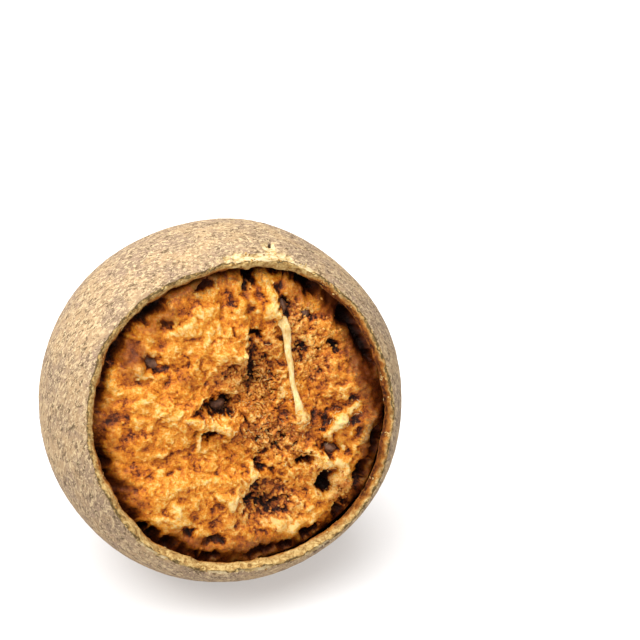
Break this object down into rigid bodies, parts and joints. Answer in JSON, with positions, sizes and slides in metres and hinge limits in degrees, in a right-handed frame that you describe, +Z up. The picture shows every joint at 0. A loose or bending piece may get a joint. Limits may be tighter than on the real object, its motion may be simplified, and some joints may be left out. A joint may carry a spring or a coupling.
{
  "type": "opened wood apple",
  "caption": "Round wood apple with a hard woody shell, its cap broken away to show the loose, craggy pulp, seeds and pale fibre inside.",
  "frame": {"origin": "centre of the bounding box in X and Y, at the flat spot that the fruit rests on", "axes": "+Z up, the opening faces -Y and a little up, +X to the right of someone who looks into it"},
  "size_m": [0.0756, 0.0682, 0.0742],
  "materials": {
    "shell": "matte",
    "pulp": "satin"
  },
  "bodies": {
    "root": {"shell": "shell", "pulp": "pulp"}
  },
  "joints": []
}
